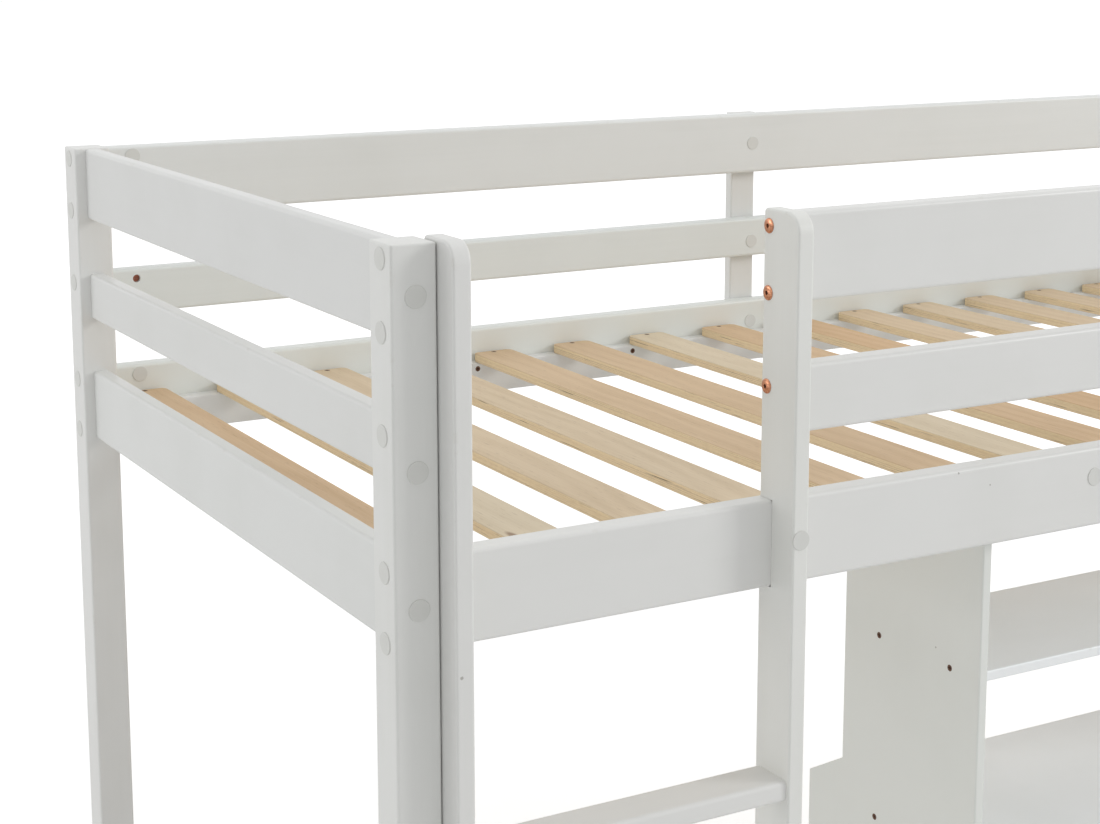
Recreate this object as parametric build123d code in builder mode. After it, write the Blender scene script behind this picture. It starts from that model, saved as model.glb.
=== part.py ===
from build123d import *
import os

# A mid-height loft bed in painted wood: a straight ladder at the front left, guard rails,
# plywood slats and a low bookcase under the bed. The wood is held by knock-down bolts
# with barrel nuts, and plastic caps cover their holes.
# X runs along the bed, the front faces -Y, Z is up and the floor is Z = 0.
# The origin is on the floor, under the middle of the whole bed.
# Lengths are millimetres. A drop is measured down from the tops of the corner posts.

# Overall size
bed_length = 2090.0
bed_depth = 980.0
post_height = 1047.0

# Corner posts
post_width = 45.0
post_edge_radius = 3.0
post_top_radius = 2.0

# Long rails, between the posts in X
rail_thickness = 25.0
rail_inset = 7.0
rail_edge_radius = 4.5
wide_rail_height = 89.0
narrow_rail_height = 58.0
guard_low_height = 69.0
top_rail_drop = 1.0
middle_rail_drop = 160.0
bed_rail_drop = 286.0
guard_low_drop = 153.0

# End rails, between the posts in Y
end_rail_thickness = 20.0
end_rail_inset = 14.0

# Ladder: two stiles lapped over the front bed rail, of which the right one is the guard post
stile_rise = 3.0
stile_thickness = 18.5
stile_depth = 57.5
stile_reach = 29.0
stile_edge_radius = 2.5
stile_nose_radius = 20.0
stile_back_radius = 4.0
stile_gap = 1.0
lap_clearance = 0.2
ladder_inside_width = 349.0
rung_depth = 50.0
rung_thickness = 22.0
rung_edge_radius = 5.0
rung_set_back = 4.0
rung_count = 2
first_rung_top = 240.0
rung_pitch = 240.0
rung_screw_spacing = 28.0

# Batten outside the middle of the back rails
centre_post_width = 43.0
centre_post_thickness = 16.0
centre_post_radius = 3.0

# Slats, and the ledges that carry them
slat_count = 16
slat_from_rail_end = 36.25
slat_width = 60.0
slat_thickness = 12.0
slat_recess = 34.0
slat_end_gap = 3.0
slat_corner_radius = 9.0
slat_edge_radius = 1.0
ledge_depth = 20.0
ledge_end_gap = 2.0
ledge_edge_radius = 2.0
ledge_screw_drop = 8.0
ledge_screw_from_slat = 31.0
slats_per_ledge_screw = 2

# Joint bolts, with a low domed head or a lap bolt's small one, and a hex socket
bolt_diameter = 6.0
bolt_head_diameter = 15.0
bolt_head_height = 2.4
bolt_head_edge = 2.0
lap_bolt_head_diameter = 10.0
lap_bolt_head_height = 6.0
lap_bolt_head_edge = 0.6
hex_socket_radius = 2.4
hex_socket_depth = 2.0
bolt_past_nut = 2.0
bolt_hole_diameter = 7.0
bolt_hole_spare = 3.0
counterbore_diameter = 16.0
counterbore_depth = 8.0
lap_counterbore_depth = 10.0

# Barrel nuts across the rail ends, and sleeve nuts behind lapped pieces
barrel_nut_diameter = 10.0
barrel_nut_length = 12.0
nut_slot_width = 1.2
nut_slot_depth = 1.2
nut_hole_clearance = 0.1
thread_clearance = 0.05
nut_from_rail_end = 34.0
sleeve_head_diameter = 15.0
sleeve_head_height = 2.0
sleeve_head_edge = 0.8
sleeve_diameter = 8.0
sleeve_length = 12.0
sleeve_hole_clearance = 0.15
sleeve_end_wall = 1.5
bolt_short_of_face = 3.0

# Caps, dowels and screws
post_cap_diameter = 21.0
rail_cap_diameter = 20.0
cap_rise = 1.0
cap_edge = 0.4
cap_stem_length = 2.5
cap_stem_clearance = 0.2
dowel_diameter = 8.0
dowel_length = 30.0
dowel_clearance = 0.1
dowel_end_gap = 0.5
dowel_chamfer = 1.0
screw_diameter = 4.0
screw_head_diameter = 7.5
screw_head_angle = 90.0
screw_clearance = 0.1
slat_screw_length = 30.0
ledge_screw_length = 36.0
rung_screw_length = 50.0
panel_screw_length = 40.0

# Where bolts and dowels sit, from the rails' edges and the posts' outer faces
bolt_edge = 13.0
bolt_pair_pitch = 66.0
long_bolt_inset = 21.0
guard_bolt_inset = 19.5
dowel_from_bolt = 28.0
bed_lap_bolt_from_top = 33.0
middle_lap_bolt_from_top = 35.0
top_lap_bolt_from_top = 44.5
spare_hole_from_middle = 201.0

# Bookcase, whose sides step out below the upper shelf
bookcase_from_left = 712.0
panel_thickness = 12.0
panel_upper_depth = 236.0
panel_lower_depth = 300.0
panel_step_height = 337.0
panel_step_fall = 38.0
panel_front_radius = 2.0
bookcase_clearance = 0.3
shelf_thickness = 12.0
shelf_front_radius = 2.0
shelf_front_set_back = 8.0
shelf_back_set_back = 20.0
upper_shelf_height = 515.5
lower_shelf_height = 292.0
bottom_shelf_height = 52.0
panel_screw_front = 49.0
panel_screw_back = 173.0

# Places that follow from the sizes
front_reach = stile_reach + cap_rise
back_reach = max(cap_rise, centre_post_thickness - rail_inset + sleeve_head_height)
left = -bed_length / 2
right = bed_length / 2
front = (front_reach - bed_depth - back_reach) / 2
back = front + bed_depth
rail_start = left + post_width
rail_end = right - post_width
rail_face_front = front + rail_inset
rail_face_back = back - rail_inset
rail_inner_front = rail_face_front + rail_thickness
rail_inner_back = rail_face_back - rail_thickness
end_bolt_inset = end_rail_inset + end_rail_thickness / 2
bed_rail_top = post_height - bed_rail_drop
bed_rail_bottom = bed_rail_top - wide_rail_height
slat_top = bed_rail_top - slat_recess
slat_pitch = (rail_end - rail_start - 2 * slat_from_rail_end) / (slat_count - 1)
slat_centres = [rail_start + slat_from_rail_end + number * slat_pitch for number in range(slat_count)]
ledge_top = slat_top - slat_thickness
ledge_height = ledge_top - bed_rail_bottom
stile_height = post_height + stile_rise
stile_front = front - stile_reach
stile_back = stile_front + stile_depth
left_stile_x = rail_start + stile_gap
guard_post_x = left_stile_x + stile_thickness + ladder_inside_width
guard_rail_start = guard_post_x + stile_thickness
guard_post_middle = guard_post_x + stile_thickness / 2
rung_tops = [first_rung_top + number * rung_pitch for number in range(rung_count)]
centre_post_back = rail_face_back + centre_post_thickness

# Rows of holes, as drops
top_pair = [top_rail_drop + bolt_edge, top_rail_drop + bolt_edge + bolt_pair_pitch]
bed_pair = [bed_rail_drop + bolt_edge, bed_rail_drop + bolt_edge + bolt_pair_pitch]
middle_single = [middle_rail_drop + bolt_edge]
long_rows = top_pair + middle_single + bed_pair
top_end_row = top_rail_drop + bolt_edge + bolt_pair_pitch / 2
middle_end_row = middle_rail_drop + narrow_rail_height - bolt_edge
low_end_row = bed_rail_drop + bolt_edge + bolt_pair_pitch / 2
end_rows = [top_end_row, middle_end_row, low_end_row]
top_dowel_rows = [top_end_row - dowel_from_bolt, top_end_row + dowel_from_bolt]
middle_dowel_rows = [middle_end_row - dowel_from_bolt]
low_dowel_rows = [low_end_row - dowel_from_bolt, low_end_row + dowel_from_bolt]
end_dowel_rows = top_dowel_rows + middle_dowel_rows + low_dowel_rows
long_dowel_rows = [middle_single[0] + dowel_from_bolt]
front_lap_row = bed_rail_drop + bed_lap_bolt_from_top
centre_lap_rows = {
    "back_rail_top": top_rail_drop + top_lap_bolt_from_top,
    "back_rail_middle": middle_rail_drop + middle_lap_bolt_from_top,
    "bed_rail_back": bed_rail_drop + bed_lap_bolt_from_top,
}

# Lengths and radii that bolts, nuts and their holes share
barrel_bolt_reach = nut_from_rail_end + barrel_nut_diameter / 2 + bolt_past_nut
post_bolt_length = post_width - counterbore_depth + barrel_bolt_reach
guard_bolt_length = stile_thickness + barrel_bolt_reach
stile_stack = post_width - counterbore_depth + stile_gap + stile_thickness
guard_lap_stack = stile_reach + rail_inset + rail_thickness - lap_counterbore_depth
centre_lap_stack = rail_thickness - lap_counterbore_depth + centre_post_thickness
bolt_hole_radius = bolt_hole_diameter / 2
nut_hole_radius = barrel_nut_diameter / 2 + nut_hole_clearance
sleeve_hole_radius = sleeve_diameter / 2 + sleeve_hole_clearance
dowel_hole_radius = dowel_diameter / 2 + dowel_clearance
dowel_hole_depth = dowel_length / 2 + dowel_end_gap
screw_hole_radius = screw_diameter / 2 + screw_clearance
screw_sink_radius = screw_head_diameter / 2 + screw_clearance

os.makedirs("parts", exist_ok=True)


def level(drop):
    # the height above the floor of a point that lies a drop below the post tops
    return post_height - drop


def facing(x, y, z, outward):
    # a location whose own Z looks out of the wood
    return Plane(origin=(x, y, z), z_dir=outward).location


def crossing(x, y, z, outward, bolt_way):
    # a location whose own Z looks out of the wood and whose own X follows a bolt
    return Plane(origin=(x, y, z), x_dir=bolt_way, z_dir=outward).location


def sunk(places, depth):
    # the same places, further into the wood
    return [place * Location((0, 0, -depth)) for place in places]


def save(piece, name):
    piece.part.label = name
    export_step(piece.part, f"parts/{name}.step")


def save_group(fitting, places, name):
    # equal small parts, each a solid of its own, in one file
    with BuildPart() as group:
        with Locations(*places):
            add(fitting)
    save(group, name)


# Places of the small parts, gathered while the wood is made
post_caps = []
rail_caps = []
post_bolts = []
barrel_nuts = []
dowels = []

# Corner posts, all drilled alike: bolts for the long rails run in X, those for the end rails in Y
for side_name, side, outer_x in (("left", -1, left), ("right", 1, right)):
    for row_name, row, outer_y in (("front", -1, front), ("back", 1, back)):
        bolt_y = outer_y - row * long_bolt_inset
        bolt_x = outer_x - side * end_bolt_inset
        inner_x = outer_x - side * post_width
        inner_y = outer_y - row * post_width
        ladder_corner = side < 0 and row < 0
        long_holes = [facing(outer_x, bolt_y, level(drop), (side, 0, 0)) for drop in long_rows]
        end_holes = [facing(bolt_x, outer_y, level(drop), (0, row, 0)) for drop in end_rows]
        post_dowels = [facing(bolt_x, inner_y, level(drop), (0, -row, 0)) for drop in end_dowel_rows]
        if not ladder_corner:
            post_dowels += [facing(inner_x, bolt_y, level(drop), (-side, 0, 0)) for drop in long_dowel_rows]
        with BuildPart() as corner_post:
            with BuildSketch(Plane.XY):
                with Locations((outer_x - side * post_width / 2, outer_y - row * post_width / 2)):
                    RectangleRounded(post_width, post_width, post_edge_radius)
            extrude(amount=post_height)
            fillet(corner_post.faces().sort_by(Axis.Z)[-1].edges(), radius=post_top_radius)
            with Locations(*long_holes, *end_holes):
                CounterBoreHole(bolt_hole_radius, counterbore_diameter / 2, counterbore_depth)
            with Locations(*post_dowels):
                Hole(dowel_hole_radius, dowel_hole_depth)
        save(corner_post, f"corner_post_{row_name}_{side_name}")
        used_rows = bed_pair if ladder_corner else long_rows
        rail_bolt_holes = [hole for hole, drop in zip(long_holes, long_rows) if drop in used_rows]
        post_bolts += sunk(rail_bolt_holes + end_holes, counterbore_depth)
        post_caps += long_holes + end_holes
        dowels += post_dowels

# Slat screws stand in the middle of each slat's ends, ledge screws run between them
slat_screw_ys = [rail_inner_front + ledge_depth / 2, rail_inner_back - ledge_depth / 2]
screwed_slats = slat_centres[slats_per_ledge_screw : slat_count // 2 : slats_per_ledge_screw]
left_ledge_screw_xs = [centre - ledge_screw_from_slat for centre in screwed_slats]
ledge_screw_xs = left_ledge_screw_xs + [0] + [-x for x in left_ledge_screw_xs]
ledge_screw_z = ledge_top - ledge_screw_drop

# Long rails: side of the bed, start, drop, height and rows of bolts
long_rails = {
    "bed_rail_front": (-1, rail_start, bed_rail_drop, wide_rail_height, bed_pair),
    "bed_rail_back": (1, rail_start, bed_rail_drop, wide_rail_height, bed_pair),
    "back_rail_top": (1, rail_start, top_rail_drop, wide_rail_height, top_pair),
    "back_rail_middle": (1, rail_start, middle_rail_drop, narrow_rail_height, middle_single),
    "guard_rail_top": (-1, guard_rail_start, top_rail_drop, wide_rail_height, top_pair),
    "guard_rail_low": (-1, guard_rail_start, guard_low_drop, guard_low_height, middle_single),
}
ledge_nut_holes = {-1: [], 1: []}
for name, (row, start, drop, height, bolt_rows) in long_rails.items():
    outer_y = front if row < 0 else back
    middle_y = outer_y - row * (rail_inset + rail_thickness / 2)
    inner_y = outer_y - row * (rail_inset + rail_thickness)
    post_y = outer_y - row * long_bolt_inset
    start_y = outer_y - row * guard_bolt_inset if start == guard_rail_start else post_y
    with BuildPart() as long_rail:
        with BuildSketch(Plane.YZ.offset(start)):
            with Locations((middle_y, level(drop) - height / 2)):
                RectangleRounded(rail_thickness, height, rail_edge_radius)
        extrude(amount=rail_end - start)
        for end_x, way, bolt_y in ((start, -1, start_y), (rail_end, 1, post_y)):
            nut_x = end_x - way * nut_from_rail_end
            with Locations(*[facing(end_x, bolt_y, level(hole), (way, 0, 0)) for hole in bolt_rows]):
                Hole(bolt_hole_radius, barrel_bolt_reach + bolt_hole_spare)
            nut_holes = [facing(nut_x, inner_y, level(hole), (0, -row, 0)) for hole in bolt_rows]
            with Locations(*nut_holes):
                Hole(nut_hole_radius, abs(inner_y - bolt_y) + barrel_nut_length / 2)
            inward, endward = (0, -row, 0), (way, 0, 0)
            barrel_nuts += [crossing(nut_x, bolt_y, level(hole), inward, endward) for hole in bolt_rows]
            if drop == bed_rail_drop:
                ledge_nut_holes[row].append(nut_holes.pop())
            rail_caps += nut_holes
            if len(bolt_rows) == 1:
                with Locations(*[facing(end_x, bolt_y, level(hole), endward) for hole in long_dowel_rows]):
                    Hole(dowel_hole_radius, dowel_hole_depth)
        if name in centre_lap_rows:
            centre_hole = facing(0, inner_y, level(centre_lap_rows[name]), (0, -row, 0))
            with Locations(centre_hole):
                CounterBoreHole(bolt_hole_radius, nut_hole_radius, lap_counterbore_depth)
            rail_caps.append(centre_hole)
        if drop == bed_rail_drop:
            with Locations(*[facing(x, inner_y, ledge_screw_z, (0, -row, 0)) for x in ledge_screw_xs]):
                Hole(screw_hole_radius, ledge_screw_length - ledge_depth + screw_clearance)
        if name == "bed_rail_front":
            spare_holes = [
                facing(x, rail_face_front, level(front_lap_row), (0, -1, 0))
                for x in (-spare_hole_from_middle, spare_hole_from_middle, -guard_post_middle)
            ]
            with Locations(*spare_holes):
                CounterBoreHole(bolt_hole_radius, nut_hole_radius, lap_counterbore_depth)
            with Locations(facing(guard_post_middle, inner_y, level(front_lap_row), (0, 1, 0))):
                CounterBoreHole(bolt_hole_radius, sleeve_hole_radius, sleeve_length)
            rail_caps += spare_holes
    save(long_rail, name)

# End rails, with one bolt and its dowels at each end
end_rails = {
    "top": (top_rail_drop, wide_rail_height, top_end_row, top_dowel_rows),
    "middle": (middle_rail_drop, narrow_rail_height, middle_end_row, middle_dowel_rows),
    "low": (bed_rail_drop, wide_rail_height, low_end_row, low_dowel_rows),
}
for side_name, side, outer_x in (("left", -1, left), ("right", 1, right)):
    middle_x = outer_x - side * end_bolt_inset
    inner_x = outer_x - side * (end_rail_inset + end_rail_thickness)
    for rail_name, (drop, height, bolt_row, dowel_rows) in end_rails.items():
        with BuildPart() as end_rail:
            with BuildSketch(Plane.XZ.offset(-front - post_width)):
                with Locations((middle_x, level(drop) - height / 2)):
                    RectangleRounded(end_rail_thickness, height, rail_edge_radius)
            extrude(amount=-(bed_depth - 2 * post_width))
            for end_y, way in ((front + post_width, -1), (back - post_width, 1)):
                nut_y = end_y - way * nut_from_rail_end
                with Locations(facing(middle_x, end_y, level(bolt_row), (0, way, 0))):
                    Hole(bolt_hole_radius, barrel_bolt_reach + bolt_hole_spare)
                nut_hole = facing(inner_x, nut_y, level(bolt_row), (-side, 0, 0))
                with Locations(nut_hole):
                    Hole(nut_hole_radius, end_rail_thickness / 2 + barrel_nut_length / 2)
                with Locations(*[facing(middle_x, end_y, level(hole), (0, way, 0)) for hole in dowel_rows]):
                    Hole(dowel_hole_radius, dowel_hole_depth)
                barrel_nuts.append(crossing(middle_x, nut_y, level(bolt_row), (-side, 0, 0), (0, way, 0)))
                rail_caps.append(nut_hole)
        save(end_rail, f"end_rail_{rail_name}_{side_name}")

# Ladder stiles: a nose rounded at the front, and a notch that takes the front bed rail
sleeve_nuts = []
rung_screws = []
rung_middle_y = stile_front + rung_set_back + rung_depth / 2
rung_screw_ys = [rung_middle_y - rung_screw_spacing / 2, rung_middle_y + rung_screw_spacing / 2]
rung_screw_zs = [top - rung_thickness / 2 for top in rung_tops]
stile_bolt_rows = top_pair + middle_single
for name, start, way in (("ladder_stile", left_stile_x, -1), ("guard_post", guard_post_x, 1)):
    outer_face = start if way < 0 else start + stile_thickness
    screw_holes = [facing(outer_face, y, z, (way, 0, 0)) for y in rung_screw_ys for z in rung_screw_zs]
    with BuildPart() as stile:
        with BuildSketch(Plane.YZ.offset(start)) as side_view:
            with Locations(((stile_front + stile_back) / 2, stile_height / 2)):
                Rectangle(stile_depth, stile_height)
            top_corners = side_view.vertices().group_by(Axis.Y)[-1].sort_by(Axis.X)
            fillet(top_corners[0], radius=stile_nose_radius)
            top_back_corner = side_view.vertices().group_by(Axis.Y)[-1].sort_by(Axis.X)[-1]
            fillet(top_back_corner, radius=stile_back_radius)
        extrude(amount=stile_thickness)
        rim = stile.faces().filter_by(Axis.X).edges() - stile.edges().group_by(Axis.Z)[0]
        fillet(rim, radius=stile_edge_radius)
        with BuildSketch(Plane.YZ.offset(start)):
            with Locations((rail_face_front - lap_clearance, bed_rail_bottom - lap_clearance)):
                Rectangle(
                    stile_depth,
                    wide_rail_height + 2 * lap_clearance,
                    align=(Align.MIN, Align.MIN),
                )
        extrude(amount=stile_thickness, mode=Mode.SUBTRACT)
        with Locations(*screw_holes):
            CounterSinkHole(screw_hole_radius, screw_sink_radius, stile_depth, screw_head_angle)
        if name == "ladder_stile":
            sleeve_x = start + stile_thickness
            sleeve_y = front + long_bolt_inset
            stile_sleeves = [facing(sleeve_x, sleeve_y, level(drop), (1, 0, 0)) for drop in stile_bolt_rows]
            with Locations(*stile_sleeves):
                CounterBoreHole(bolt_hole_radius, sleeve_hole_radius, sleeve_length)
            sleeve_nuts += stile_sleeves
        else:
            guard_y = front + guard_bolt_inset
            guard_bolts = [facing(start, guard_y, level(drop), (-1, 0, 0)) for drop in stile_bolt_rows]
            guard_dowels = [facing(outer_face, guard_y, level(drop), (1, 0, 0)) for drop in long_dowel_rows]
            guard_lap_hole = facing(guard_post_middle, stile_front, level(front_lap_row), (0, -1, 0))
            with Locations(*guard_bolts):
                Hole(bolt_hole_radius)
            with Locations(*guard_dowels):
                Hole(dowel_hole_radius, dowel_hole_depth)
            with Locations(guard_lap_hole):
                CounterBoreHole(bolt_hole_radius, nut_hole_radius, lap_counterbore_depth)
            dowels += guard_dowels
            rail_caps.append(guard_lap_hole)
    save(stile, name)
    rung_screws += screw_holes
sleeve_nuts.append(facing(guard_post_middle, rail_inner_front, level(front_lap_row), (0, 1, 0)))

# Ladder rungs, screwed through the stiles
rung_start = left_stile_x + stile_thickness
for number, top in enumerate(rung_tops, start=1):
    with BuildPart() as rung:
        with BuildSketch(Plane.YZ.offset(rung_start)):
            with Locations((rung_middle_y, top - rung_thickness / 2)):
                RectangleRounded(rung_depth, rung_thickness, rung_edge_radius)
        extrude(amount=ladder_inside_width)
        for x, way in ((rung_start, -1), (guard_post_x, 1)):
            with Locations(*[facing(x, y, top - rung_thickness / 2, (way, 0, 0)) for y in rung_screw_ys]):
                Hole(screw_hole_radius, rung_screw_length - stile_thickness + screw_clearance)
    save(rung, f"ladder_rung_{number}")

# Batten behind the back rails
with BuildPart() as centre_post:
    with BuildSketch(Plane.XY.offset(bed_rail_bottom)):
        with Locations((0, rail_face_back + centre_post_thickness / 2)):
            RectangleRounded(centre_post_width, centre_post_thickness, centre_post_radius)
    extrude(amount=level(top_rail_drop) - bed_rail_bottom)
    lap_rows = centre_lap_rows.values()
    centre_sleeves = [facing(0, centre_post_back, level(drop), (0, 1, 0)) for drop in lap_rows]
    with Locations(*centre_sleeves):
        CounterBoreHole(bolt_hole_radius, sleeve_hole_radius, sleeve_length)
save(centre_post, "back_centre_post")
sleeve_nuts += centre_sleeves

# Ledges on the bed rails, drilled for the slats' screws and open over the lower barrel nuts
for row_name, row, inner_y, screw_y in (
    ("front", -1, rail_inner_front, slat_screw_ys[0]),
    ("back", 1, rail_inner_back, slat_screw_ys[1]),
):
    face_y = inner_y - row * ledge_depth
    nut_holes = sunk(ledge_nut_holes[row], -ledge_depth)
    with BuildPart() as ledge:
        with BuildSketch(Plane.YZ.offset(rail_start + ledge_end_gap)):
            with Locations((screw_y, bed_rail_bottom + ledge_height / 2)):
                RectangleRounded(ledge_depth, ledge_height, ledge_edge_radius)
        extrude(amount=rail_end - rail_start - 2 * ledge_end_gap)
        with Locations(*[facing(x, screw_y, ledge_top, (0, 0, 1)) for x in slat_centres]):
            Hole(screw_hole_radius, slat_screw_length - slat_thickness + screw_clearance)
        with Locations(*[facing(x, face_y, ledge_screw_z, (0, -row, 0)) for x in ledge_screw_xs]):
            CounterSinkHole(screw_hole_radius, screw_sink_radius, ledge_depth, screw_head_angle)
        with Locations(*nut_holes):
            Hole(nut_hole_radius, ledge_depth)
    save(ledge, f"slat_ledge_{row_name}")
    rail_caps += nut_holes

# Plywood slats with rounded corners
slat_length = rail_inner_back - rail_inner_front - 2 * slat_end_gap
for number, centre in enumerate(slat_centres, start=1):
    with BuildPart() as slat:
        with BuildSketch(Plane.XY.offset(ledge_top)):
            with Locations((centre, (rail_inner_front + rail_inner_back) / 2)):
                RectangleRounded(slat_width, slat_length, slat_corner_radius)
        extrude(amount=slat_thickness)
        outlines = slat.edges().group_by(Axis.Z)
        fillet(outlines[0] + outlines[-1], radius=slat_edge_radius)
        with Locations(*[(centre, y, slat_top) for y in slat_screw_ys]):
            CounterSinkHole(screw_hole_radius, screw_sink_radius, slat_thickness, screw_head_angle)
    save(slat, f"slat_{number:02d}")

# Bookcase sides, wider below their step, with their front edges against the bed rail
panel_top = bed_rail_bottom - bookcase_clearance
panel_front = rail_inner_front
panel_step_back = panel_front + panel_upper_depth
panel_back = panel_front + panel_lower_depth
panel_screw_ys = [panel_front + panel_screw_front, panel_front + panel_screw_back]
shelf_sizes = {
    "top": (panel_top, panel_upper_depth),
    "upper_shelf": (upper_shelf_height, panel_upper_depth),
    "lower_shelf": (lower_shelf_height, panel_lower_depth),
    "bottom_shelf": (bottom_shelf_height, panel_lower_depth),
}
panel_screws = []
bookcase_left = left + bookcase_from_left
for side_name, start, way in (("left", bookcase_left, -1), ("right", -bookcase_left - panel_thickness, 1)):
    outer_face = start if way < 0 else start + panel_thickness
    screw_holes = [
        facing(outer_face, y, top - shelf_thickness / 2, (way, 0, 0))
        for y in panel_screw_ys
        for top, _ in shelf_sizes.values()
    ]
    with BuildPart() as panel:
        with BuildSketch(Plane.YZ.offset(start)):
            with BuildLine():
                Polyline(
                    (panel_front, 0),
                    (panel_back, 0),
                    (panel_back, panel_step_height - panel_step_fall),
                    (panel_step_back, panel_step_height),
                    (panel_step_back, panel_top),
                    (panel_front, panel_top),
                    close=True,
                )
            make_face()
        extrude(amount=panel_thickness)
        fillet(panel.edges().filter_by(Axis.Z).group_by(Axis.Y)[0], radius=panel_front_radius)
        with Locations(*screw_holes):
            CounterSinkHole(screw_hole_radius, screw_sink_radius, panel_thickness, screw_head_angle)
    save(panel, f"bookcase_side_{side_name}")
    panel_screws += screw_holes

# Bookcase top and shelves, between the sides
shelf_start = bookcase_left + panel_thickness
shelf_length = -2 * shelf_start
for name, (top, depth) in shelf_sizes.items():
    shelf_depth = depth - shelf_front_set_back - shelf_back_set_back
    with BuildPart() as shelf:
        with BuildSketch(Plane.XY.offset(top - shelf_thickness)):
            with Locations((shelf_start, panel_front + shelf_front_set_back)):
                Rectangle(shelf_length, shelf_depth, align=(Align.MIN, Align.MIN))
        extrude(amount=shelf_thickness)
        fillet(shelf.edges().filter_by(Axis.X).group_by(Axis.Y)[0], radius=shelf_front_radius)
        for x, way in ((shelf_start, -1), (-shelf_start, 1)):
            with Locations(*[facing(x, y, top - shelf_thickness / 2, (way, 0, 0)) for y in panel_screw_ys]):
                Hole(screw_hole_radius, panel_screw_length - panel_thickness + screw_clearance)
    save(shelf, f"bookcase_{name}")


def joint_bolt(head_diameter, head_height, head_edge, length):
    # seated on Z = 0, with its shank below
    with BuildPart() as bolt:
        with BuildSketch():
            Circle(head_diameter / 2)
        extrude(amount=head_height)
        fillet(bolt.edges().sort_by(Axis.Z)[-1], radius=head_edge)
        with BuildSketch():
            Circle(bolt_diameter / 2)
        extrude(amount=-length)
        with BuildSketch(Plane.XY.offset(head_height)):
            RegularPolygon(hex_socket_radius, 6)
        extrude(amount=-hex_socket_depth, mode=Mode.SUBTRACT)
    return bolt.part


def wood_screw(length):
    # its flat head is level with Z = 0
    head_radius = screw_head_diameter / 2
    shank_radius = screw_diameter / 2
    with BuildPart() as screw:
        with BuildSketch(Plane.XZ):
            with BuildLine():
                Polyline(
                    (0, 0),
                    (head_radius, 0),
                    (shank_radius, shank_radius - head_radius),
                    (shank_radius, -length),
                    (0, -length),
                    close=True,
                )
            make_face()
        revolve(axis=Axis.Z)
    return screw.part


def cover_cap(diameter, hole_radius):
    # a thin lid on Z = 0, with a stem that plugs the hole
    with BuildPart() as cap:
        with BuildSketch():
            Circle(diameter / 2)
        extrude(amount=cap_rise)
        chamfer(cap.edges().sort_by(Axis.Z)[-1], length=cap_edge)
        with BuildSketch():
            Circle(hole_radius - cap_stem_clearance)
        extrude(amount=-cap_stem_length)
    return cap.part


# Bolts, each row with the length that its joint needs
domed_head = (bolt_head_diameter, bolt_head_height, bolt_head_edge)
lap_head = (lap_bolt_head_diameter, lap_bolt_head_height, lap_bolt_head_edge)
stile_bolts = sunk(
    [facing(left, front + long_bolt_inset, level(drop), (-1, 0, 0)) for drop in stile_bolt_rows],
    counterbore_depth,
)
centre_lap_bolts = sunk(
    [facing(0, rail_inner_back, level(drop), (0, -1, 0)) for drop in centre_lap_rows.values()],
    lap_counterbore_depth,
)
save_group(joint_bolt(*domed_head, post_bolt_length), post_bolts, "post_bolts")
save_group(joint_bolt(*domed_head, stile_stack - bolt_short_of_face), stile_bolts, "stile_bolts")
save_group(joint_bolt(*domed_head, guard_bolt_length), guard_bolts, "guard_bolts")
save_group(
    joint_bolt(*lap_head, centre_lap_stack - bolt_short_of_face),
    centre_lap_bolts,
    "centre_post_bolts",
)
save_group(
    joint_bolt(*lap_head, guard_lap_stack - bolt_short_of_face),
    sunk([guard_lap_hole], lap_counterbore_depth),
    "guard_post_bolt",
)

# Barrel nuts, crossed by the bolts, with a slot in the end that faces out of the rail
with BuildPart() as barrel_nut:
    with BuildSketch(Plane.XY.offset(-barrel_nut_length / 2)):
        Circle(barrel_nut_diameter / 2)
    extrude(amount=barrel_nut_length)
    with BuildSketch(Plane.XY.offset(barrel_nut_length / 2)):
        Rectangle(2 * barrel_nut_diameter, nut_slot_width)
    extrude(amount=-nut_slot_depth, mode=Mode.SUBTRACT)
    with Locations(Plane.YZ.location):
        Hole(bolt_diameter / 2 + thread_clearance)
save_group(barrel_nut.part, barrel_nuts, "barrel_nuts")

# Sleeve nuts, with a flat head on the far side of a lapped joint
with BuildPart() as sleeve_nut:
    with BuildSketch():
        Circle(sleeve_head_diameter / 2)
    extrude(amount=sleeve_head_height)
    chamfer(sleeve_nut.edges().sort_by(Axis.Z)[-1], length=sleeve_head_edge)
    with BuildSketch():
        Circle(sleeve_diameter / 2)
    extrude(amount=-sleeve_length)
    with Locations(facing(0, 0, -sleeve_length, (0, 0, -1))):
        Hole(bolt_diameter / 2 + thread_clearance, sleeve_length - sleeve_end_wall)
save_group(sleeve_nut.part, sleeve_nuts, "sleeve_nuts")

# Dowels, half in each piece
with BuildPart() as dowel:
    with BuildSketch(Plane.XY.offset(-dowel_length / 2)):
        Circle(dowel_diameter / 2)
    extrude(amount=dowel_length)
    chamfer(dowel.edges().filter_by(GeomType.CIRCLE), length=dowel_chamfer)
save_group(dowel.part, dowels, "dowels")

# Screws
slat_screws = [facing(x, y, slat_top, (0, 0, 1)) for x in slat_centres for y in slat_screw_ys]
ledge_screws = [
    facing(x, inner_y - row * ledge_depth, ledge_screw_z, (0, -row, 0))
    for x in ledge_screw_xs
    for row, inner_y in ((-1, rail_inner_front), (1, rail_inner_back))
]
save_group(wood_screw(slat_screw_length), slat_screws, "slat_screws")
save_group(wood_screw(ledge_screw_length), ledge_screws, "ledge_screws")
save_group(wood_screw(rung_screw_length), rung_screws, "rung_screws")
save_group(wood_screw(panel_screw_length), panel_screws, "bookcase_screws")

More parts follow.
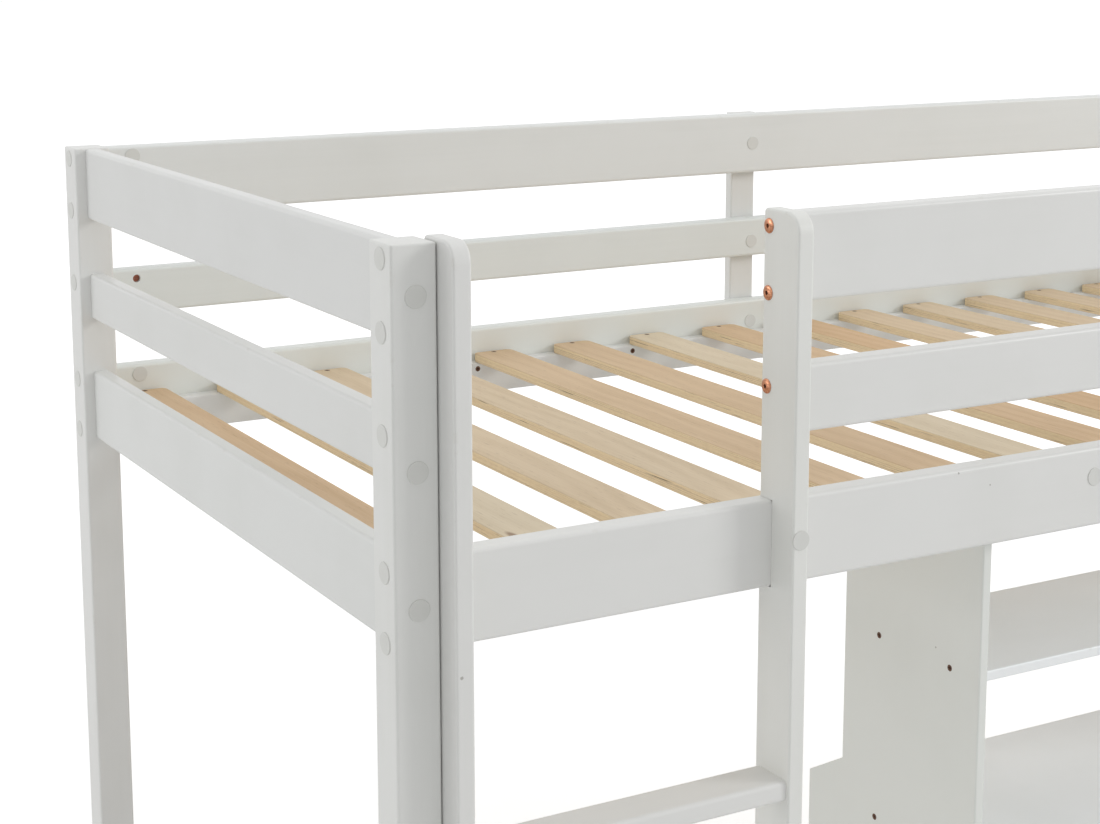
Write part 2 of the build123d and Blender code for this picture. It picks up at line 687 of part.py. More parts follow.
# Caps: large ones over the posts' bolts, small ones over the rails' nuts and lap bolts.
# The nut in the left end of the middle back rail has none.
open_nut = (rail_start + nut_from_rail_end, level(middle_single[0]))
capped = [
    place
    for place in rail_caps
    if place.position.Y < rail_inner_back or (place.position.X, place.position.Z) != open_nut
]
save_group(cover_cap(post_cap_diameter, counterbore_diameter / 2), post_caps, "post_caps")
save_group(cover_cap(rail_cap_diameter, nut_hole_radius), capped, "rail_caps")
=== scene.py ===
import math

import bpy
import numpy as np
from mathutils import Matrix, Vector


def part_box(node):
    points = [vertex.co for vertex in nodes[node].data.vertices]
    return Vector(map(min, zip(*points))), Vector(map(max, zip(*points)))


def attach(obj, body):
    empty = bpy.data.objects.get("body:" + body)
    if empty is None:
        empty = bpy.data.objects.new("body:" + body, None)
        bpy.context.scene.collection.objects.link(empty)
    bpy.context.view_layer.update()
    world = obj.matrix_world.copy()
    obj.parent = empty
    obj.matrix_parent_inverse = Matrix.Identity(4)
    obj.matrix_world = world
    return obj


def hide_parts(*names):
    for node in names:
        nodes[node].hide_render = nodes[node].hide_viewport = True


# A mid-height loft bed in white satin paint, with bare plywood slats and a low bookcase.
# Metres throughout: X runs along the bed, the front faces -Y, Z is up.

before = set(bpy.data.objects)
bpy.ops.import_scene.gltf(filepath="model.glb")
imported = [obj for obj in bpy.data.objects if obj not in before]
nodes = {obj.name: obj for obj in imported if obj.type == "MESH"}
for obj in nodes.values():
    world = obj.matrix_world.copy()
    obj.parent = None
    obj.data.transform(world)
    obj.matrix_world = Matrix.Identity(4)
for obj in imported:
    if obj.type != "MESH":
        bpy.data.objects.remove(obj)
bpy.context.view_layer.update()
print("frame loaded:", len(nodes), "nodes")


class Sock:
    # a node's output, so that shader maths reads as plain arithmetic
    def __init__(self, shade, link):
        self.shade = shade
        self.link = link

    def maths(self, operation, first, second=0.0, clamp=False):
        settings = {"operation": operation, "use_clamp": clamp}
        return self.shade.node("ShaderNodeMath", settings, {0: first, 1: second})

    def __add__(self, other):
        return self.maths("ADD", self, other)

    def __radd__(self, other):
        return self.maths("ADD", other, self)

    def __sub__(self, other):
        return self.maths("SUBTRACT", self, other)

    def __rsub__(self, other):
        return self.maths("SUBTRACT", other, self)

    def __mul__(self, other):
        return self.maths("MULTIPLY", self, other)

    def __truediv__(self, other):
        return self.maths("DIVIDE", self, other)

    def __gt__(self, other):
        return self.maths("GREATER_THAN", self, other)

    def __lt__(self, other):
        return self.maths("LESS_THAN", self, other)

    def least(self, other):
        return self.maths("MINIMUM", self, other)

    def most(self, other):
        return self.maths("MAXIMUM", self, other)

    def clamped(self):
        return self.maths("ADD", self, 0.0, clamp=True)

    def sine(self):
        return self.maths("SINE", self)

    def fraction(self):
        return self.maths("FRACT", self)

    def zigzag(self):
        # up and down between 0 and 1
        return self.maths("PINGPONG", self, 1.0)


class Shade:
    # a material's nodes, all made by one method
    def __init__(self, tree):
        self.tree = tree
        tree.nodes.clear()

    def node(self, kind, settings=None, values=None, out=0):
        made = self.tree.nodes.new(kind)
        for key, value in (settings or {}).items():
            setattr(made, key, value)
        for key, value in (values or {}).items():
            if isinstance(value, Sock):
                self.tree.links.new(value.link, made.inputs[key])
            else:
                made.inputs[key].default_value = value
        return Sock(self, made.outputs[out]) if made.outputs else made

    def place(self, stretch=(1, 1, 1), shift=(0, 0, 0)):
        # object coordinates, stretched and then shifted
        spot = self.node("ShaderNodeTexCoord", out="Object")
        spot = self.node("ShaderNodeVectorMath", {"operation": "MULTIPLY"}, {0: spot, 1: stretch})
        return self.node("ShaderNodeVectorMath", {"operation": "ADD"}, {0: spot, 1: shift})

    def noise(self, spot, scale, detail=2.0, roughness=0.5):
        values = {"Vector": spot, "Scale": scale, "Detail": detail, "Roughness": roughness}
        return self.node("ShaderNodeTexNoise", None, values)

    def blend(self, factor, first, second):
        return self.node("ShaderNodeMix", {"data_type": "RGBA"}, {0: factor, 6: first, 7: second}, out=2)

    def parts(self, spot):
        split = self.node("ShaderNodeSeparateXYZ", None, {0: spot})
        return [Sock(self, socket) for socket in split.link.node.outputs]

    def surface(self, values):
        shader = self.node("ShaderNodeBsdfPrincipled", None, values)
        self.node("ShaderNodeOutputMaterial", None, {0: shader})

    def bump(self, height, strength, distance):
        values = {"Height": height, "Strength": strength, "Distance": distance}
        return self.node("ShaderNodeBump", None, values)


def newMaterial(name):
    material = bpy.data.materials.new(name)
    material.use_nodes = True
    return material, Shade(material.node_tree)


def dress(name, material):
    # the node keeps its mesh and gets a better finish
    for holder in nodes[name].material_slots:
        holder.material = material


def tint(red, green, blue):
    return (red, green, blue, 1.0)


# Painted boards: satin paint over wood, with the grain just showing along each board
paint = {
    "light": tint(0.8, 0.802, 0.784),
    "shade": tint(0.762, 0.765, 0.742),
    "worn": tint(0.6, 0.57, 0.5),
    "mark": tint(0.3, 0.28, 0.25),
    "roughness": 0.36,
    "refraction": 1.48,
    "bookcaseCoat": {"Coat Weight": 0.4, "Coat Roughness": 0.25},
    "grainAcross": 260.0,  # grain lines per metre, near enough
    "grainAlong": 6.0,
    "broadShare": 0.12,  # the broad grain's counts, as a share of those two
    "cloudScale": 7.0,
    "cloudMiddle": 0.42,
    "stippleScale": 1100.0,
    "toneFrom": {"cloud": 2.2, "broad": 1.4, "fibre": 0.5},
    "glossFrom": {"cloud": 0.16, "fibre": 0.08, "rubbed": 0.12},
    "reliefFrom": {"fibre": 0.35, "broad": 0.5, "stipple": 0.12, "rubbed": 0.3},
    "rimWidth": 0.005,  # how far rubbed edges reach
    "rubScale": 38.0,
    "rubLimit": 0.6,  # noise above this is rubbed
    "rubContrast": 9.0,
    "rubStrength": 0.35,
    "knockScale": 900.0,
    "knockFade": 0.4,  # the share of its radius over which a knock fades
    "knockStrength": 0.65,
    "bumpStrength": 0.35,
    "bumpDistance": 0.0006,
}

# Boards differ a little in tone, and some are made lighter or darker to stand in for the light that falls on
# them, which is painted light (most of all the bookcase's top and shelves): a factor for red, green and blue
boardTonesAndPaintedLight = {
    "guard_post": (1.03, 1.035, 1.02),
    "corner_post_front_left": (1.0, 1.005, 1.0),
    "end_rail_top_left": (0.96, 0.965, 0.97),
    "end_rail_middle_left": (0.965, 0.97, 0.97),
    "end_rail_low_left": (0.965, 0.975, 0.975),
    "back_rail_middle": (1.0, 1.03, 1.03),
    "bed_rail_back": (1.02, 1.045, 1.03),
    "back_rail_top": (1.005, 1.02, 1.025),
    "bookcase_side_left": (1.01, 1.03, 1.01),
    "bookcase_top": (1.06, 1.07, 1.08),
    "bookcase_upper_shelf": (1.15, 1.175, 1.21),
    "bookcase_lower_shelf": (1.15, 1.175, 1.21),
    "bookcase_bottom_shelf": (1.15, 1.175, 1.21),
}

# Small knocks that the boards have: place and radius
knocks = {
    "bed_rail_front": [(-0.35, -0.4733, 0.7388, 0.0012), (-0.3935, -0.4733, 0.757, 0.0015)],
    "bookcase_side_left": [(-0.333, -0.3753, 0.5259, 0.0013)],
    "ladder_stile": [(-0.9935, -0.5093, 0.656, 0.002)],
}


def boardPaint(name, grain, dullness):
    low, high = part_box(name)
    size = high - low
    along = max(range(3), key=lambda axis: size[axis])
    material, shade = newMaterial("paint_" + name)
    stretch = [paint["grainAcross"]] * 3
    stretch[along] = paint["grainAlong"]
    plain = shade.place()
    fibre = shade.noise(shade.place(tuple(stretch)), 1.0, 4.0, 0.6)
    broadStretch = tuple(value * paint["broadShare"] for value in stretch)
    broad = shade.noise(shade.place(broadStretch), 1.0, 3.0, 0.55)
    cloud = shade.noise(plain, paint["cloudScale"], 3.0, 0.5)
    stipple = shade.noise(plain, paint["stippleScale"], 1.0, 0.5)
    # of the three distances to the box's faces, the middle one is the distance to the nearest edge
    gaps = [(value - low[axis]).least(high[axis] - value) for axis, value in enumerate(shade.parts(plain))]
    least = gaps[0].least(gaps[1]).least(gaps[2])
    most = gaps[0].most(gaps[1]).most(gaps[2])
    edge = gaps[0] + gaps[1] + gaps[2] - least - most
    rim = (1.0 - edge / paint["rimWidth"]).clamped()
    patches = shade.noise(plain, paint["rubScale"], 4.0, 0.65)
    rubbed = (rim * ((patches - paint["rubLimit"]) * paint["rubContrast"]).clamped()).clamped()
    # the board's tone factors, which for some boards hold painted light
    factors = boardTonesAndPaintedLight.get(name, (1.0, 1.0, 1.0))
    light, dark = (tint(*[a * b for a, b in zip(paint[key], factors)]) for key in ("light", "shade"))
    share = paint["toneFrom"]
    tone = (cloud - paint["cloudMiddle"]) * share["cloud"]
    tone = tone + (broad - 0.5) * share["broad"] * grain + (fibre - 0.5) * share["fibre"] * grain
    colour = shade.blend(tone.clamped(), light, dark)
    colour = shade.blend(rubbed * paint["rubStrength"], colour, paint["worn"])
    for x, y, z, radius in knocks.get(name, []):
        centred = shade.place((1, 1, 1), (-x, -y, -z))
        far = shade.node("ShaderNodeVectorMath", {"operation": "LENGTH"}, {0: centred}, out="Value")
        ragged = (shade.noise(plain, paint["knockScale"]) - 0.5) * radius
        spot = ((radius - far + ragged) / (paint["knockFade"] * radius)).clamped()
        colour = shade.blend(spot * paint["knockStrength"], colour, paint["mark"])
    share = paint["glossFrom"]
    roughness = paint["roughness"] + dullness + (cloud - 0.5) * share["cloud"]
    roughness = roughness + (fibre - 0.5) * share["fibre"] * grain + rubbed * share["rubbed"]
    share = paint["reliefFrom"]
    height = fibre * share["fibre"] * grain + broad * share["broad"] * grain
    height = height + stipple * share["stipple"] - rubbed * share["rubbed"]
    normal = shade.bump(height, paint["bumpStrength"], paint["bumpDistance"])
    values = {"Base Color": colour, "Roughness": roughness, "Normal": normal, "IOR": paint["refraction"]}
    if name.startswith("bookcase"):
        values.update(paint["bookcaseCoat"])
    shade.surface(values)
    return material


softwoodNames = ("corner_post", "back_", "ladder_", "guard_post", "slat_ledge")
softwood = [name for name in nodes if name.startswith(softwoodNames) and not name.endswith("_bolt")]
fibreboard = [name for name in nodes if name.startswith("bookcase_") and name != "bookcase_screws"]
planed = [name for name in nodes if name.startswith(("bed_rail", "guard_rail", "end_rail"))]
# each kind with how much grain shows and how much duller it is
for boards, grain, dullness in ((softwood, 1.0, 0.05), (planed, 0.45, 0.0), (fibreboard, 0.15, -0.05)):
    for name in boards:
        dress(name, boardPaint(name, grain, dullness))
print("painted boards:", len(softwood) + len(planed) + len(fibreboard))


# Slats: plain sawn plywood, whose edges show its layers
plywood = {
    "warmLight": tint(0.7, 0.485, 0.285),
    "warmDark": tint(0.57, 0.365, 0.19),
    "paleLight": tint(0.77, 0.66, 0.49),
    "paleDark": tint(0.65, 0.535, 0.37),
    "glue": tint(0.16, 0.095, 0.05),
    "layerLight": tint(0.88, 0.7, 0.45),
    "layerDark": tint(0.7, 0.51, 0.3),
    "knot": tint(0.24, 0.13, 0.07),
    "roughness": 0.62,
    "refraction": 1.45,
    "ringPitch": 240.0,  # radians of the ring sine per metre
    "ringBend": 34.0,
    "poreLimit": 0.66,
    "knotCells": (17.0, 4.2, 2.0),  # cells per metre, of which a few hold a knot
    "knotRadius": 0.1,  # in cells
    "layers": 5,
    "layerBend": 0.25,  # in layers
    "glueHalfWidth": 0.07,  # in layers
    "gapLimit": 0.66,
    "edgeRadius": 0.0009,
    "bumpStrength": 0.45,
    "bumpDistance": 0.0006,
    "warmth": [0.8, 0.0, 0.33, 0.27, 0.67, 0.7, 0.06, 0.85, 1.0, 0.48, 0.33, 0.45, 0.45, 0.6, 0.3, 0.7],
}


def slatWood(number):
    name = f"slat_{number:02d}"
    low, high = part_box(name)
    thickness = high.z - low.z
    warmth = plywood["warmth"][number - 1]
    material, shade = newMaterial("plywood_" + name)
    shift = (0.0, 2.7 * number, 1.3 * number)
    plain = shade.place()
    x, _, z = shade.parts(plain)
    bend = shade.noise(shade.place((4.0, 1.6, 4.0), shift), 1.0, 3.0, 0.5)
    # growth rings: a sine of the distance across the slat, bent by slow noise
    rings = (((x - low.x) * plywood["ringPitch"] + bend * plywood["ringBend"]).sine() + 1.0) * 0.5
    streak = shade.noise(shade.place((420.0, 7.0, 420.0), shift), 1.0, 3.0, 0.6)
    fine = shade.noise(shade.place((900.0, 45.0, 900.0), shift), 1.0, 1.0)
    pores = ((fine - plywood["poreLimit"]) * 12.0).clamped()
    cloud = shade.noise(shade.place((9.0, 3.0, 9.0), shift), 1.0, 2.0, 0.5)
    # each slat lies between the pale and the warm tones, by its own warmth
    pairs = [zip(plywood["pale" + end][:3], plywood["warm" + end][:3]) for end in ("Light", "Dark")]
    light, dark = (tint(*[pale + (warm - pale) * warmth for pale, warm in pair]) for pair in pairs)
    tone = (rings * 0.3 + (streak - 0.35) * 0.9 + (cloud - 0.5) * 0.9).clamped()
    face = shade.blend(tone, light, dark)
    face = shade.blend(pores * 0.3, face, plywood["knot"])
    values = {"Vector": shade.place(plywood["knotCells"], shift), "Scale": 1.0}
    far = shade.node("ShaderNodeTexVoronoi", {"feature": "F1"}, values, out="Distance")
    allowed = ((shade.noise(shade.place((3.0, 3.0, 3.0), shift), 1.0) - 0.5) * 16.0).clamped()
    knot = ((plywood["knotRadius"] - far) * 24.0).clamped() * allowed
    face = shade.blend(knot * 0.75, face, plywood["knot"])
    # the edge: layers in turn along and across the grain, with thin glue lines and a few gaps, which get the
    # glue's dark colour as painted shade
    wave = shade.noise(shade.place((0, 9.0, 0), shift), 1.0)
    level = (z - low.z) * (plywood["layers"] / thickness) + (wave - 0.5) * plywood["layerBend"]
    share = level.fraction()
    turn = level.zigzag()
    fleck = shade.noise(shade.place((60.0, 120.0, 900.0), shift), 1.0, 3.0)
    layerTone = (turn * 0.35 + (fleck - 0.5) * 1.3).clamped()
    layer = shade.blend(layerTone, plywood["layerLight"], plywood["layerDark"])
    glue = ((plywood["glueHalfWidth"] - share.least(1.0 - share)) * 22.0).clamped()
    patchy = shade.noise(shade.place((5.0, 3.5, 160.0), shift), 1.0, 3.0)
    glue = glue * ((patchy - 0.46) * 6.0).clamped()
    split = shade.noise(shade.place((12.0, 10.0, 620.0), shift), 1.0, 2.0)
    gap = ((split - plywood["gapLimit"]) * 18.0).clamped()
    layer = shade.blend(glue * 0.85, layer, plywood["glue"])
    # the gaps darkened: painted shade in the hollows
    layer = shade.blend(gap * 0.8, layer, plywood["glue"])
    side = (z < high.z - plywood["edgeRadius"]) * (z > low.z + plywood["edgeRadius"])
    colour = shade.blend(side, face, layer)
    roughness = plywood["roughness"] + (streak - 0.5) * 0.2 + side * 0.12
    height = streak * 0.5 + rings * 0.12 - pores * 0.3 - glue * side * 0.5 - gap * side
    normal = shade.bump(height, plywood["bumpStrength"], plywood["bumpDistance"])
    values = {"Base Color": colour, "Roughness": roughness, "Normal": normal, "IOR": plywood["refraction"]}
    shade.surface(values)
    return material


slatCount = len([name for name in nodes if name.startswith("slat_") and name[5:].isdigit()])
for number in range(1, slatCount + 1):
    dress(f"slat_{number:02d}", slatWood(number))
print("slats finished:", slatCount)


# Plastic caps, dowels and metal
plastic = {
    "light": tint(0.725, 0.73, 0.7),
    "shade": tint(0.69, 0.695, 0.665),
    "roughness": 0.42,
    "refraction": 1.5,
}


def capPlastic():
    material, shade = newMaterial("white_cap_plastic")
    plain = shade.place()
    cloud = shade.noise(plain, 60.0, 2.0)
    fine = shade.noise(plain, 2600.0, 1.0)
    colour = shade.blend(cloud, plastic["light"], plastic["shade"])
    roughness = plastic["roughness"] + (cloud - 0.5) * 0.14
    normal = shade.bump(fine, 0.25, 0.0002)
    values = {"Base Color": colour, "Roughness": roughness, "Normal": normal, "IOR": plastic["refraction"]}
    shade.surface(values)
    return material


dowelLook = {"light": tint(0.66, 0.47, 0.29), "dark": tint(0.52, 0.34, 0.19), "roughness": 0.6}


def dowelWood():
    material, shade = newMaterial("dowel_wood")
    streak = shade.noise(shade.place((300.0, 300.0, 300.0)), 1.0, 3.0, 0.6)
    colour = shade.blend(streak, dowelLook["light"], dowelLook["dark"])
    roughness = dowelLook["roughness"] + streak * 0.15
    normal = shade.bump(streak, 0.4, 0.0003)
    shade.surface({"Base Color": colour, "Roughness": roughness, "Normal": normal})
    return material


metals = {
    "copper_plate": {"bright": tint(0.72, 0.34, 0.2), "dull": tint(0.34, 0.14, 0.085), "roughness": 0.22},
    # a darker copper for the barrel nuts, which sit deep in their holes: painted shade
    "hole_shaded_copper": {"bright": tint(0.4, 0.16, 0.11), "dull": tint(0.2, 0.075, 0.055), "roughness": 0.34},
    "zinc_plate": {"bright": tint(0.74, 0.73, 0.69), "dull": tint(0.5, 0.49, 0.46), "roughness": 0.3},
    "dark_bronze": {"bright": tint(0.2, 0.11, 0.075), "dull": tint(0.075, 0.045, 0.035), "roughness": 0.34},
}
# near black for the recesses of screw and bolt heads: painted shade
recessPaintedShade = tint(0.02, 0.013, 0.01)


def platedMetal(name):
    look = metals[name]
    material, shade = newMaterial(name)
    plain = shade.place()
    cloud = shade.noise(plain, 420.0, 3.0, 0.6)
    brushed = shade.noise(plain, 2400.0, 2.0, 0.6)
    colour = shade.blend(((cloud - 0.35) * 1.9).clamped(), look["bright"], look["dull"])
    # the piece's own attribute says how far a point lies inside a recess of the head, and there the colour
    # goes to near black: painted shade
    recess = shade.node("ShaderNodeAttribute", {"attribute_name": "recess"}, out="Fac")
    colour = shade.blend(recess * 0.85, colour, recessPaintedShade)
    roughness = look["roughness"] + (brushed - 0.5) * 0.2 + (cloud - 0.5) * 0.15
    normal = shade.bump(brushed, 0.2, 0.0001)
    shade.surface({"Base Color": colour, "Metallic": 1.0, "Roughness": roughness, "Normal": normal})
    return material


capFinish, dowelFinish = capPlastic(), dowelWood()
copper, holeShadedCopper, zinc, bronze = (platedMetal(name) for name in metals)
for name in ("post_caps", "rail_caps"):
    dress(name, capFinish)
dress("dowels", dowelFinish)
# the barrel nuts get the darker copper, as painted shade of their holes
dress("barrel_nuts", holeShadedCopper)
for name in ("post_bolts", "stile_bolts", "centre_post_bolts", "guard_post_bolt", "sleeve_nuts"):
    dress(name, zinc)
print("caps, dowels and metal finished")


# Fasteners that show are made again, with their recesses and threads
def cornerPoints(name):
    # the corner points of each separate solid: the least label spreads over corners that triangles share
    mesh = nodes[name].data
    points = np.empty(len(mesh.vertices) * 3)
    mesh.vertices.foreach_get("co", points)
    points = points.reshape(-1, 3)
    corners = np.empty(len(mesh.loops), int)
    mesh.loops.foreach_get("vertex_index", corners)
    _, merged = np.unique(np.round(points * 1e5).astype(int), axis=0, return_inverse=True)
    merged = merged.ravel()
    triangles = merged[corners].reshape(-1, 3)
    labels = np.arange(merged.max() + 1)
    while True:
        spread = labels.copy()
        np.minimum.at(spread, triangles.ravel(), np.repeat(spread[triangles].min(axis=1), 3))
        spread = spread[spread]
        if np.array_equal(spread, labels):
            break
        labels = spread
    owner = labels[merged]
    return [points[owner == label] for label in np.unique(owner)]


endReach = 0.003  # how near its end a fastener's points tell whether the head is there


def fastenerPlaces(name):
    # for each solid: the middle of its wide end, which is the head, a turn whose Z looks out of
    # the wood, and the length
    places = []
    for points in cornerPoints(name):
        low, high = points.min(axis=0), points.max(axis=0)
        axis = int(np.argmax(high - low))
        middle = (low + high) / 2
        spread = np.linalg.norm(np.delete(points - middle, axis, axis=1), axis=1)
        nearHigh = points[:, axis] > high[axis] - endReach
        nearLow = points[:, axis] < low[axis] + endReach
        sign = 1.0 if spread[nearHigh].max() > spread[nearLow].max() else -1.0
        middle[axis] = high[axis] if sign > 0 else low[axis]
        outward = np.zeros(3)
        outward[axis] = sign
        aside = np.roll(np.abs(outward), 1)
        turn = np.stack([aside, np.cross(outward, aside), outward], axis=1)
        places.append((middle, turn, (high - low)[axis]))
    return places


def turnedPiece(name, node, radius, height, recess, finish, slotName):
    # rings of points at (radius, height), closed by one point at each end, and repeated at every place
    rings, columns = radius.shape
    angle = np.linspace(0, 2 * np.pi, columns, endpoint=False)
    ringPoints = np.stack([radius * np.cos(angle), radius * np.sin(angle), height], axis=2).reshape(-1, 3)
    ends = np.array([[0, 0, height[0].mean()], [0, 0, height[-1].mean()]])
    shape = np.concatenate([ringPoints, ends])
    column = np.arange(columns)
    after = (column + 1) % columns
    ring = np.arange(rings - 1)[:, None] * columns
    quads = np.stack([ring + column, ring + columns + column, ring + columns + after, ring + after], axis=2)
    topFan = np.stack([column, after, np.full(columns, rings * columns)], axis=1)
    last = (rings - 1) * columns
    bottomFan = np.stack([last + after, last + column, np.full(columns, rings * columns + 1)], axis=1)
    depths = np.concatenate([recess.ravel(), np.zeros(radius.size - recess.size), [recess[0].mean(), 0.0]])
    points, faces = [], []
    places = fastenerPlaces(node)
    for number, (middle, turn, _) in enumerate(places):
        points.append(shape @ turn.T + middle)
        offset = number * len(shape)
        faces += (quads.reshape(-1, 4) + offset).tolist()
        faces += (topFan + offset).tolist() + (bottomFan + offset).tolist()
    mesh = bpy.data.meshes.new(name)
    mesh.from_pydata(np.concatenate(points).tolist(), [], faces)
    mesh.polygons.foreach_set("use_smooth", np.ones(len(mesh.polygons), bool))
    # the recess share, by which the finish paints shade into the heads' recesses
    mesh.attributes.new("recess", "FLOAT", "POINT").data.foreach_set("value", np.tile(depths, len(places)))
    mesh.update()
    piece = bpy.data.objects.new(name, mesh)
    bpy.context.scene.collection.objects.link(piece)
    piece.data.materials.append(finish)
    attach(piece, "root")
    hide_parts(node)


def threaded(depth, angle, core, crest, pitch):
    # a helix: the crest stands out where depth over pitch, less the share of the turn, is near a whole number
    phase = np.mod(depth / pitch - angle / (2 * np.pi), 1.0)
    return core + (crest - core) * np.clip(1.6 * np.abs(2 * phase - 1) - 0.4, 0, 1)


woodScrew = {
    "columns": 32,
    "headRadius": 0.00375,
    "coreRadius": 0.0014,
    "crestRadius": 0.002,
    "pitch": 0.0018,
    "recessHalfWidth": 0.00055,
    "recessReach": 0.0022,
    "recessDepth": 0.0015,
    "recessSideFade": 0.0002,
    "recessEndFade": 0.0004,
    "tipLength": 0.004,
}


def screwSurface(length):
    look = woodScrew
    angle = np.linspace(0, 2 * np.pi, look["columns"], endpoint=False)[None, :]
    # the head: a flat disc into which a cross is pressed, deepest in the middle
    ring = look["headRadius"] * np.linspace(0.06, 1, 12)[:, None]
    x, y = np.abs(ring * np.cos(angle)), np.abs(ring * np.sin(angle))
    arm, reach = np.minimum(x, y), np.maximum(x, y)
    inside = np.clip((look["recessHalfWidth"] - arm) / look["recessSideFade"] + 0.5, 0, 1)
    inside = inside * np.clip((look["recessReach"] - reach) / look["recessEndFade"] + 0.5, 0, 1)
    headHeight = -look["recessDepth"] * inside * (1 - 0.55 * reach / look["recessReach"])
    headRing = np.broadcast_to(ring, headHeight.shape)
    # under it a cone, and then the thread, which runs out to the tip
    coneDepth = look["headRadius"] - look["crestRadius"]
    turns = np.arange(coneDepth, length, look["pitch"] / 4)[1:]
    depth = np.concatenate([np.linspace(0.0002, coneDepth, 3), turns, [length]])[:, None]
    cone = look["headRadius"] - np.minimum(depth, coneDepth)
    thread = threaded(depth, angle, look["coreRadius"], look["crestRadius"], look["pitch"])
    stem = np.where(depth <= coneDepth, cone, thread)
    stem = stem * np.clip((length - depth) / look["tipLength"], 0.04, 1)
    radius = np.concatenate([headRing, stem])
    height = np.concatenate([headHeight, np.broadcast_to(-depth, stem.shape)])
    return radius, height, inside


for node in ("slat_screws", "ledge_screws", "rung_screws", "bookcase_screws"):
    length = fastenerPlaces(node)[0][2]
    turnedPiece("threaded_" + node, node, *screwSurface(length), bronze, "zinc_plated_steel")
print("screws made")


guardBolt = {
    "columns": 72,
    "headRadius": 0.0075,
    "headHeight": 0.0024,
    "rimHeight": 0.0005,
    "socketAcross": 0.0021,
    "socketDepth": 0.0019,
    "socketFade": 0.00012,
    "shankRadius": 0.003,
    "rootRadius": 0.0026,
    "threadLength": 0.022,
    "pitch": 0.001,
}


def boltSurface(length):
    look = guardBolt
    angle = np.linspace(0, 2 * np.pi, look["columns"], endpoint=False)[None, :]
    # the head: half an ellipse over a low rim, with a six-sided socket sunk into it
    # the rings lie closest where the socket's wall is
    spans = [np.linspace(0.03, 0.24, 5), np.linspace(0.25, 0.36, 10), np.linspace(0.4, 1, 16)]
    share = np.concatenate(spans)[:, None]
    ring = look["headRadius"] * share
    dome = look["rimHeight"] + (look["headHeight"] - look["rimHeight"]) * np.sqrt(np.clip(1 - share**2, 0, 1))
    flat = look["socketAcross"] / np.cos(np.mod(angle, np.pi / 3) - np.pi / 6)
    inside = np.clip((flat - ring) / look["socketFade"] + 0.5, 0, 1)
    headHeight = (dome - look["socketDepth"] * inside) - look["headHeight"]
    headRing = np.broadcast_to(ring, headHeight.shape)
    # under it the flat seat, the plain shank and the thread
    shankEnd = length - look["threadLength"]
    seat = look["headHeight"]
    depth = np.concatenate([[seat, seat, seat + 0.0002], np.linspace(seat + 0.002, shankEnd, 4)])
    depth = np.concatenate([depth, np.arange(shankEnd, length, look["pitch"] / 4)[1:], [length]])[:, None]
    thread = threaded(depth, angle, look["rootRadius"], look["shankRadius"], look["pitch"])
    stem = np.where(depth <= shankEnd, look["shankRadius"], thread)
    stem = stem * np.clip((length - depth) / 0.001, 0.75, 1)
    stem[0] = look["headRadius"]
    radius = np.concatenate([headRing, stem])
    height = np.concatenate([headHeight, np.broadcast_to(-depth, stem.shape)])
    return radius, height, inside


boltLength = fastenerPlaces("guard_bolts")[0][2]
turnedPiece("threaded_guard_bolts", "guard_bolts", *boltSurface(boltLength), copper, "copper_plated_bolt")
print("guard bolts made")


# Floor: white to the camera, and it keeps the bed's shadow
floorLook = {
    "halfWidth": 40.0,
    "light": tint(0.86, 0.86, 0.86),
    "dark": tint(0.84, 0.84, 0.84),
    "roughness": 0.7,
    "liftNear": 0.4,  # glow that only the camera sees, so that the shadow stays
    "liftFar": 0.7,
    "nearTo": 1.2,
    "farFrom": 5.0,
}


def floorMaterial():
    material, shade = newMaterial("pale_floor")
    seen = shade.node("ShaderNodeLightPath", out="Is Camera Ray")
    fleck = shade.noise(shade.place(), 90.0, 2.0)
    away = shade.node("ShaderNodeVectorMath", {"operation": "LENGTH"}, {0: shade.place()}, out="Value")
    share = ((away - floorLook["nearTo"]) / (floorLook["farFrom"] - floorLook["nearTo"])).clamped()
    near, far = (tint(*[floorLook[key]] * 3) for key in ("liftNear", "liftFar"))
    glow = shade.blend(seen, tint(0, 0, 0), shade.blend(share, near, far))
    colour = shade.blend(fleck, floorLook["light"], floorLook["dark"])
    values = {
        "Base Color": colour,
        "Roughness": floorLook["roughness"],
        "Emission Color": glow,
        "Emission Strength": 1.0,
    }
    shade.surface(values)
    return material


half = floorLook["halfWidth"]
floorMesh = bpy.data.meshes.new("floor")
corners = [(-half, -half, 0), (half, -half, 0), (half, half, 0), (-half, half, 0)]
floorMesh.from_pydata(corners, [], [(0, 1, 2, 3)])
floor = bpy.data.objects.new("floor", floorMesh)
bpy.context.scene.collection.objects.link(floor)
floor.data.materials.append(floorMaterial())

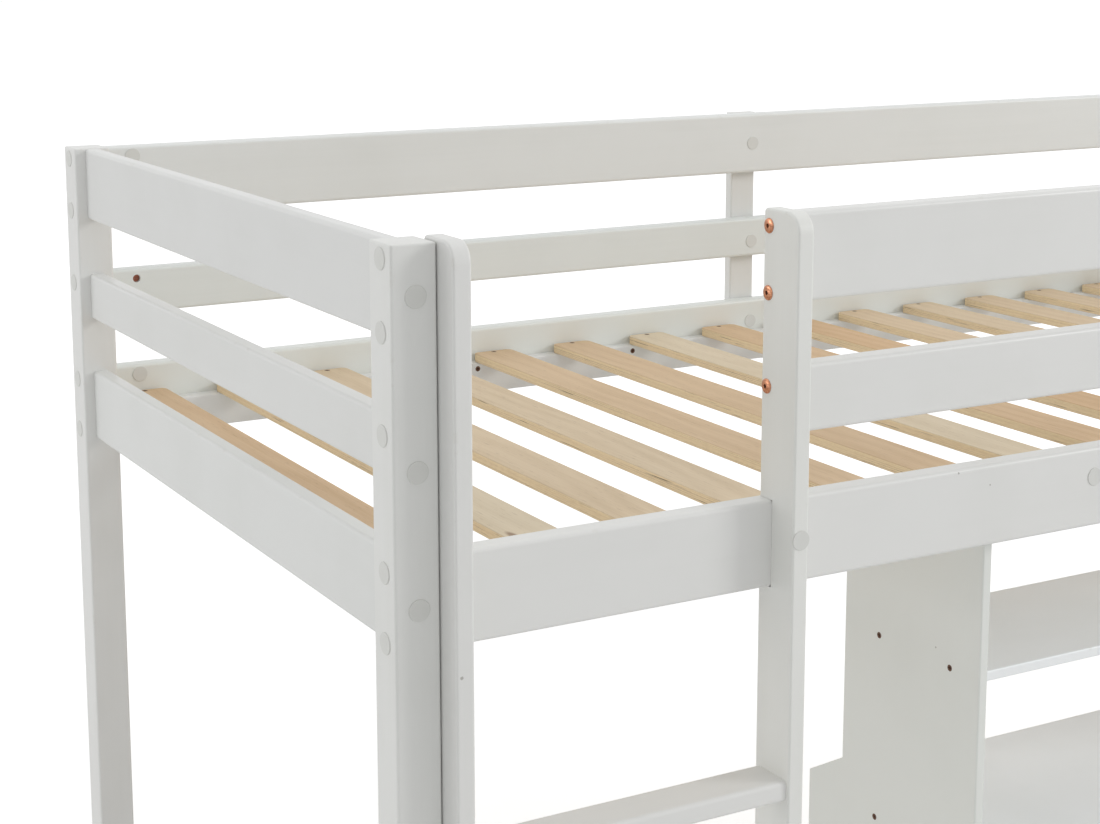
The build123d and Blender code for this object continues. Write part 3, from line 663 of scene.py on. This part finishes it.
# World: white where it is seen or mirrored, and a gentler fill light elsewhere
worldLook = {"fill": 0.58}
world = bpy.data.worlds.new("studio")
bpy.context.scene.world = world
world.use_nodes = True
sky = Shade(world.node_tree)
seen = sky.node("ShaderNodeLightPath", out="Is Camera Ray")
mirrored = sky.node("ShaderNodeLightPath", out="Is Glossy Ray")
strength = worldLook["fill"] + seen.most(mirrored) * (1 - worldLook["fill"])
background = sky.node("ShaderNodeBackground", None, {"Color": tint(1, 1, 1), "Strength": strength})
sky.node("ShaderNodeOutputWorld", None, {0: background})

# Lamps: a main light from the front right, and softer ones from the left and overhead
lamps = {
    "main": {"at": (5.0, -4.3, 3.3), "to": (-0.3, -0.1, 0.7), "size": 2.2, "power": 144.0},
    "left": {"at": (-5.1, 2.2, 1.7), "to": (-0.6, 0.0, 0.7), "size": 3.2, "power": 52.0},
    "over": {"at": (-0.2, 0.3, 4.2), "to": (0.0, 0.0, 0.7), "size": 3.4, "power": 26.0},
}
for name, look in lamps.items():
    light = bpy.data.lights.new(name, "AREA")
    light.shape = "SQUARE"
    light.size = look["size"]
    light.energy = look["power"]
    lamp = bpy.data.objects.new(name, light)
    lamp.location = look["at"]
    lamp.visible_camera = False
    lamp.rotation_euler = (Vector(look["to"]) - Vector(look["at"])).to_track_quat("-Z", "Y").to_euler()
    bpy.context.scene.collection.objects.link(lamp)
print("stage lit")

# Camera, in degrees and metres: turned from +Y towards +X, and looking down
cameraLook = {
    "at": (-1.778, -2.0624, 1.3091),
    "turn": 29.403,
    "down": 9.547,
    "roll": -0.064,
    "lens": 66.75,
    "sensor": 36.0,
    "shiftY": -0.12,
    "nearest": 0.05,
}
turn, down, roll = (math.radians(cameraLook[key]) for key in ("turn", "down", "roll"))
ahead = Vector((math.sin(turn) * math.cos(down), math.cos(turn) * math.cos(down), -math.sin(down)))
level = Vector((math.cos(turn), -math.sin(turn), 0.0))
upright = level.cross(ahead)
aside = level * math.cos(roll) + upright * math.sin(roll)
above = upright * math.cos(roll) - level * math.sin(roll)
axes = Matrix((aside, above, -ahead)).transposed().to_4x4()
camera = bpy.data.objects.new("camera", bpy.data.cameras.new("camera"))
camera.matrix_world = Matrix.Translation(cameraLook["at"]) @ axes
camera.data.lens = cameraLook["lens"]
camera.data.sensor_width = cameraLook["sensor"]
camera.data.shift_y = cameraLook["shiftY"]
camera.data.clip_start = cameraLook["nearest"]
bpy.context.scene.collection.objects.link(camera)
bpy.context.scene.camera = camera
bpy.context.scene.view_settings.view_transform = "Standard"
print("camera set")
